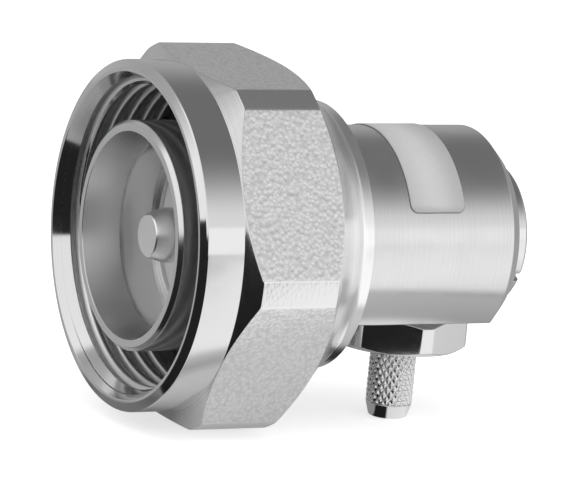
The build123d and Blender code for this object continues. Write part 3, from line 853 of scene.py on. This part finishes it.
for polygon in cap_cut.polygons:
    polygon.use_smooth = True
bpy.data.objects.remove(cap_rough)
bpy.data.objects.remove(blade)
finish_piece("back_cap_turned", cap_cut, [cap_plating], "body", "cap_plating", "back_cap")


# Coupling nut: turned and threaded from 32 mm hexagonal brass bar, and held on the housing by the snap ring,
# so that it turns freely. The flats and corners are blasted with sand, and the ring and cones turned bright.
nut_front, nut_rear = [corner.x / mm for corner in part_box("coupling_nut")]
nut_half_width, nut_corner_radius = 16.0, 17.82
nut_corner, nut_edge = 35.1, 26.12
ring_start, ring_end, ring_radius = -7.1, -3.38, 15.95
mouth_start, face_radii = -6.75, (14.85, 15.15)
root_radius = 14.5
relief_groove = (1.05, 5.58, 14.65)
front_cone, rear_cone, rear_bend, cone_start = 30, 35, 45, 6.616
collar_start, nut_neck_radius, neck_fillet = 10.19, 12.37, 3.4
rear_radius, running_radius = 12.1, 10.13
nut_groove = (8.9, 10.1, 10.85)


def nut_outline(angle):
    """The nut's corners at this angle: the mouth, the outside to the rear, and the bore back to the thread."""
    hexagon = hexagon_limit(angle, nut_corner, nut_half_width, nut_corner_radius, softness=0.16)
    front = ring_end + (hexagon - ring_radius) * tan(radians(front_cone))
    rear = cone_start - (hexagon - ring_radius) * tan(radians(rear_cone))
    return [
        (mouth_start, root_radius, 0.002), (nut_front, face_radii[0], 0.06), (nut_front, face_radii[1], 0.06),
        (ring_start, ring_radius, 0.12), (ring_end, ring_radius, 0.04), (front, hexagon, 0.09),
        (rear, hexagon, 0.09), (cone_start, ring_radius, 0.2),
        (collar_start, nut_neck_radius, neck_fillet * tan(radians(rear_bend / 2))),
        (nut_rear - 0.03, nut_neck_radius, 0.05), (nut_rear, rear_radius, 0.08), (nut_rear, running_radius, 0.06),
        (nut_groove[1], running_radius, 0.03), (nut_groove[1], nut_groove[2], 0.03),
        (nut_groove[0], nut_groove[2], 0.03), (nut_groove[0], running_radius, 0.03),
        (relief_groove[1], running_radius, 0.05), (relief_groove[1], relief_groove[2], 0.05),
        (relief_groove[0], relief_groove[2], 0.05), (relief_groove[0], root_radius, 0.05),
    ]


def blasted_plating(name, colour, roughness, grain, height, corner_radius):
    """Plating over sand-blasted brass: an even coat of small dents that sparkle. Sizes are in mm.

    The sand's real dents, about 0.1 mm wide, are too fine to show, so grain is drawn wider. The corners,
    which were turned to corner_radius, took the sand less well."""
    material, tree = new_material(name)
    place = add_node(tree, "ShaderNodeTexCoord")
    split = add_node(tree, "ShaderNodeSeparateXYZ", {0: place.outputs["Object"]})
    across = add_node(tree, "ShaderNodeCombineXYZ", {"Y": split.outputs["Y"], "Z": split.outputs["Z"]})
    radius = add_node(tree, "ShaderNodeVectorMath", {0: across.outputs[0]}, operation="LENGTH")
    on_flat = add_node(tree, "ShaderNodeMapRange", {
        "Value": radius.outputs["Value"],
        "From Min": (corner_radius - 0.05) * mm, "From Max": (corner_radius - 0.12) * mm,
    })
    sanded = add_node(tree, "ShaderNodeMapRange", {"Value": on_flat.outputs[0], "To Min": 0.4, "To Max": 1.0})
    drawn_out = add_node(tree, "ShaderNodeMapping", {0: place.outputs["Object"], "Scale": (1.0, 1.0, 0.72)})
    dents = add_node(tree, "ShaderNodeTexVoronoi", {
        "Vector": drawn_out.outputs[0], "Scale": 1 / (grain * mm), "Smoothness": 0.6,
    }, feature="SMOOTH_F1")
    grit = add_node(tree, "ShaderNodeTexNoise", {
        "Vector": drawn_out.outputs[0], "Scale": 0.9 / (grain * mm), "Detail": 2.0, "Roughness": 0.6,
    })
    both = add_node(tree, "ShaderNodeMath", {
        0: dents.outputs["Distance"], 1: 1.2, 2: grit.outputs["Fac"],
    }, operation="MULTIPLY_ADD")
    relief = add_node(tree, "ShaderNodeBump", {
        "Height": both.outputs[0], "Strength": sanded.outputs[0], "Distance": height * mm,
    })
    deep = add_node(tree, "ShaderNodeMapRange", {
        "Value": dents.outputs["Distance"], "From Min": 0.1, "From Max": 0.75,
    })
    pitted = add_node(tree, "ShaderNodeMath", {
        0: deep.outputs[0], 1: on_flat.outputs[0],
    }, operation="MULTIPLY")
    flat_tone = add_node(tree, "ShaderNodeMix", {
        0: pitted.outputs[0], 6: linear(colour), 7: linear("e2e2e2"),
    }, data_type="RGBA")
    tone = add_node(tree, "ShaderNodeMix", {
        0: on_flat.outputs[0], 6: linear("e6e6e6"), 7: flat_tone.outputs[2],
    }, data_type="RGBA")
    patches = add_node(tree, "ShaderNodeMapRange", {
        "Value": on_flat.outputs[0], "To Min": roughness - 0.12, "To Max": roughness,
    })
    metal = add_node(tree, "ShaderNodeBsdfPrincipled", {
        "Base Color": tone.outputs[2], "Metallic": 1.0, "Roughness": patches.outputs[0],
        "Normal": relief.outputs[0],
    })
    add_node(tree, "ShaderNodeOutputMaterial", {"Surface": metal.outputs[0]})
    return material


# Five finishes of one piece: a dull sparkle on the blasted hexagon, a clear mirror on the ring and the mouth,
# fine and coarse tool lines on the rear and front cones, and the thread, which the plating left duller.
nut_platings = [
    blasted_plating(
        "sand_blasted_white_bronze", "fafafa", roughness=0.36, grain=0.32, height=0.028,
        corner_radius=nut_corner_radius,
    ),
    turned_plating(
        "mirror_turned_white_bronze", "dedede", roughness=0.1, ring_spacing=0.06, ring_height=0.0005,
    ),
    turned_plating(
        "fine_turned_white_bronze", "f4f4f4", roughness=0.22, ring_spacing=0.14, ring_height=0.005,
    ),
    turned_plating("threaded_white_bronze", "e8e8e8", roughness=0.4, ring_spacing=0.1, ring_height=0.004),
    turned_plating(
        "coarse_turned_white_bronze", "d4d4d4", roughness=0.15, ring_spacing=0.2, ring_height=0.012,
    ),
]
blasted, mirror, fine_turned, threaded, coarse_turned = range(5)
nut_finishes = [mirror] * 4 + [coarse_turned, blasted] + [fine_turned] * 3 + [mirror] * 2 + [threaded] * 9
nut_angles = hexagon_angles(nut_corner, nut_edge)
nut = turned_mesh("nut", nut_outline, nut_angles, finishes=nut_finishes, round_within=ring_radius)

# Its thread, M29 x 1.5: the ridge follows a helix inside the bore. The long cone of the nut's mouth trims its
# first turn, and it fades out at the relief groove.
thread_tree = bpy.data.node_groups.new("inner_thread", "GeometryNodeTree")
thread_tree.interface.new_socket("Geometry", in_out="OUTPUT", socket_type="NodeSocketGeometry")
for label_text, kind, value in (
    ("Root Radius", "NodeSocketFloat", 14.55), ("Height", "NodeSocketFloat", 0.85),
    ("Pitch", "NodeSocketFloat", 1.5), ("Turns", "NodeSocketFloat", 5.6), ("Foot Width", "NodeSocketFloat", 1.4),
    ("Crest Width", "NodeSocketFloat", 0.56), ("Rounding", "NodeSocketFloat", 0.28),
    ("Mouth Radius", "NodeSocketFloat", 14.68), ("Mouth Slope", "NodeSocketFloat", 0.5),
    ("Finish", "NodeSocketMaterial", None), ("Mouth Finish", "NodeSocketMaterial", None),
):
    socket = thread_tree.interface.new_socket(label_text, in_out="INPUT", socket_type=kind)
    if value is not None:
        socket.default_value = value
sizes = add_node(thread_tree, "NodeGroupInput").outputs
length = add_node(thread_tree, "ShaderNodeMath", {0: sizes["Pitch"], 1: sizes["Turns"]}, operation="MULTIPLY")
helix = add_node(thread_tree, "GeometryNodeCurveSpiral", {
    "Resolution": 128, "Rotations": sizes["Turns"], "Start Radius": sizes["Root Radius"],
    "End Radius": sizes["Root Radius"], "Height": length.outputs[0],
})
upright = add_node(thread_tree, "GeometryNodeSetCurveNormal", {"Curve": helix.outputs[0]})
upright.mode = "Z_UP"
share = add_node(thread_tree, "GeometryNodeSplineParameter")
from_middle = add_node(thread_tree, "ShaderNodeMath", {
    0: share.outputs["Factor"], 1: 0.5,
}, operation="SUBTRACT")
away = add_node(thread_tree, "ShaderNodeMath", {0: from_middle.outputs[0]}, operation="ABSOLUTE")
fade = add_node(thread_tree, "ShaderNodeMapRange", {
    "Value": away.outputs[0], "From Min": 0.44, "From Max": 0.5, "To Min": 1.0, "To Max": 0.05,
})
faded = add_node(thread_tree, "GeometryNodeSetCurveRadius", {
    "Curve": upright.outputs[0], "Radius": fade.outputs[0],
})
ridge = add_node(thread_tree, "GeometryNodeCurvePrimitiveQuadrilateral", {
    "Bottom Width": sizes["Foot Width"], "Top Width": sizes["Crest Width"], "Height": sizes["Height"],
    "Offset": 0.0,
}, mode="TRAPEZOID")
worn = add_node(thread_tree, "GeometryNodeFilletCurve", {
    "Curve": ridge.outputs[0], "Radius": sizes["Rounding"], "Count": 5,
}, mode="POLY")
fine = add_node(thread_tree, "GeometryNodeResampleCurve", {"Curve": worn.outputs[0], "Count": 40})
half = add_node(thread_tree, "ShaderNodeMath", {0: sizes["Height"], 1: 0.5}, operation="MULTIPLY")
lifted = add_node(thread_tree, "ShaderNodeCombineXYZ", {"Y": half.outputs[0]})
standing = add_node(thread_tree, "GeometryNodeTransform", {
    "Geometry": fine.outputs[0], "Translation": lifted.outputs[0],
})
turned_in = add_node(thread_tree, "GeometryNodeTransform", {
    "Geometry": standing.outputs[0], "Rotation": (0.0, 0.0, radians(-90)),
})
swept = add_node(thread_tree, "GeometryNodeCurveToMesh", {
    "Curve": faded.outputs[0], "Profile Curve": turned_in.outputs[0], "Scale": fade.outputs[0],
    "Fill Caps": True,
})
point = add_node(thread_tree, "GeometryNodeInputPosition")
point_parts = add_node(thread_tree, "ShaderNodeSeparateXYZ", {0: point.outputs[0]})
point_across = add_node(thread_tree, "ShaderNodeVectorMath", {
    0: point.outputs[0], 1: (1, 1, 0),
}, operation="MULTIPLY")
point_radius = add_node(thread_tree, "ShaderNodeVectorMath", {0: point_across.outputs[0]}, operation="LENGTH")
narrowing = add_node(thread_tree, "ShaderNodeMath", {
    0: point_parts.outputs["Z"], 1: sizes["Mouth Slope"],
}, operation="MULTIPLY")
cone_radius = add_node(thread_tree, "ShaderNodeMath", {
    0: sizes["Mouth Radius"], 1: narrowing.outputs[0],
}, operation="SUBTRACT")
kept_radius = add_node(thread_tree, "ShaderNodeMath", {
    0: point_radius.outputs["Value"], 1: cone_radius.outputs[0],
}, operation="MAXIMUM")
widening = add_node(thread_tree, "ShaderNodeMath", {
    0: kept_radius.outputs[0], 1: point_radius.outputs["Value"],
}, operation="DIVIDE")
widening_across = add_node(thread_tree, "ShaderNodeCombineXYZ", {
    "X": widening.outputs[0], "Y": widening.outputs[0], "Z": 1.0,
})
trimmed_place = add_node(thread_tree, "ShaderNodeVectorMath", {
    0: point.outputs[0], 1: widening_across.outputs[0],
}, operation="MULTIPLY")
trimmed = add_node(thread_tree, "GeometryNodeSetPosition", {
    "Geometry": swept.outputs[0], "Position": trimmed_place.outputs[0],
})
real = add_node(thread_tree, "GeometryNodeRealizeInstances", {"Geometry": trimmed.outputs[0]})
plated = add_node(thread_tree, "GeometryNodeSetMaterial", {
    "Geometry": real.outputs[0], "Material": sizes["Finish"],
})
above_cone = add_node(thread_tree, "ShaderNodeMath", {
    0: point_radius.outputs["Value"], 1: cone_radius.outputs[0],
}, operation="SUBTRACT")
on_cone = add_node(thread_tree, "ShaderNodeMath", {0: above_cone.outputs[0], 1: 0.02}, operation="LESS_THAN")
mouthed = add_node(thread_tree, "GeometryNodeSetMaterial", {
    "Geometry": plated.outputs[0], "Selection": on_cone.outputs[0], "Material": sizes["Mouth Finish"],
})
add_node(thread_tree, "NodeGroupOutput", {0: mouthed.outputs[0]})
thread_start, thread_turn = -7.1, -115.2
thread_place = (
    Matrix.Translation((thread_start * mm, 0, 0)) @ Matrix.Rotation(radians(90), 4, "Y")
    @ Matrix.Rotation(radians(thread_turn), 4, "Z")
)
thread = grown_mesh(thread_tree, {"Finish": nut_platings[threaded], "Mouth Finish": nut_platings[mirror]})
nut = joined_mesh("nut_threaded", nut, thread, thread_place, nut_platings)
finish_piece("coupling_nut_turned", nut, nut_platings, "nut", "nut_plating", "coupling_nut")


# Label: a strip of pale polyester film with rounded corners, stuck round the drum. It is bare, and round its cut
# edge the glue under it shows as a line painted dark grey: painted shade at the film's edge.
label_front, label_rear = [corner.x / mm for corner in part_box("label")]
label_low, label_high = -60.0, 67.5
label_corner = 0.8
label_steps = 120
glue_height, film_height, film_margin = 0.04, 0.12, 0.06
fibre_size, fibre_height = 0.4, 0.004
# The size in mm of the mottle in the painted edge shade.
shade_mottle_size = 0.667

# Satin film: a soft, broad shine over a faint mottle, which is drawn 0.4 mm wide to show at all.
film, tree = new_material("satin_polyester_film")
place = add_node(tree, "ShaderNodeTexCoord")
fibre = add_node(tree, "ShaderNodeTexNoise", {
    "Vector": place.outputs["Object"], "Scale": 1 / (fibre_size * mm), "Detail": 3.0,
})
relief = add_node(tree, "ShaderNodeBump", {
    "Height": fibre.outputs["Fac"], "Strength": 0.5, "Distance": fibre_height * mm,
})
tone = add_node(tree, "ShaderNodeMix", {
    0: fibre.outputs["Fac"], 6: linear("d8d8d8"), 7: linear("e0e0e0"),
}, data_type="RGBA")
satin = add_node(tree, "ShaderNodeBsdfPrincipled", {
    "Base Color": tone.outputs[2], "Roughness": 0.45, "IOR": 1.49, "Normal": relief.outputs[0],
})
add_node(tree, "ShaderNodeOutputMaterial", {"Surface": satin.outputs[0]})


def strip_mesh(name, margin, inner, outer):
    """The label's outline less a margin, as a closed strip between two radii. All sizes are in mm."""
    start, end, corner = label_front + margin, label_rear - margin, label_corner - margin
    low, high = label_low + degrees(margin / drum_radius), label_high - degrees(margin / drum_radius)
    reach = degrees(corner / drum_radius)
    bm = bmesh.new()
    rows = []
    for i in range(label_steps + 1):
        angle = low + (high - low) * (1 - cos(pi * i / label_steps)) / 2
        angle = low + (high - low) * (1 - cos(pi * i / 120)) / 2
        over = min(max(angle - (high - reach), (low + reach) - angle, 0) / reach, 1)
        cut = corner * (1 - (1 - over * over) ** 0.5)
        around = radians(angle)
        rows.append([
            bm.verts.new((x * mm, -r * mm * sin(around), r * mm * cos(around)))
            for x, r in ((start + cut, inner), (start + cut, outer), (end - cut, outer), (end - cut, inner))
        ])
    for before, after in zip(rows, rows[1:]):
        for a in range(4):
            bm.faces.new((before[a], before[(a + 1) % 4], after[(a + 1) % 4], after[a])).smooth = a in (1, 3)
    bm.faces.new(rows[0])
    bm.faces.new(rows[-1])
    bmesh.ops.recalc_face_normals(bm, faces=bm.faces)
    mesh = bpy.data.meshes.new(name)
    bm.to_mesh(mesh)
    bm.free()
    return mesh


# Acrylic glue that stands out round the film by a hair, coloured as a thin dull grey line of painted shade at the
# film's cut edge, mottled at random.
edge_shade_glue, tree = new_material("acrylic_glue_painted_edge_shade")
place = add_node(tree, "ShaderNodeTexCoord")
shade_mottle = add_node(tree, "ShaderNodeTexNoise", {
    "Vector": place.outputs["Object"], "Scale": 1 / (shade_mottle_size * mm), "Detail": 2.0,
})
tone = add_node(tree, "ShaderNodeMix", {
    0: shade_mottle.outputs["Fac"], 6: linear("55565a"), 7: linear("7c7d80"),
}, data_type="RGBA")
tack = add_node(tree, "ShaderNodeBsdfPrincipled", {
    "Base Color": tone.outputs[2], "Roughness": 0.6, "IOR": 1.47,
})
add_node(tree, "ShaderNodeOutputMaterial", {"Surface": tack.outputs[0]})
glue_top, film_top = drum_radius + glue_height, drum_radius + film_height
# The glue layer carries the painted shade round the film's edge.
for name, margin, inner, outer, material in (
    ("label_glue_painted_shade_layer", 0.0, drum_radius, glue_top, edge_shade_glue),
    ("label_film_layer", film_margin, glue_top, film_top, film),
):
    layer = bpy.data.objects.new(name, strip_mesh(name, margin, inner, outer))
    layer.data.materials.append(material)
    scene.collection.objects.link(layer)
    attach(layer, "body")
    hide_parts("label")
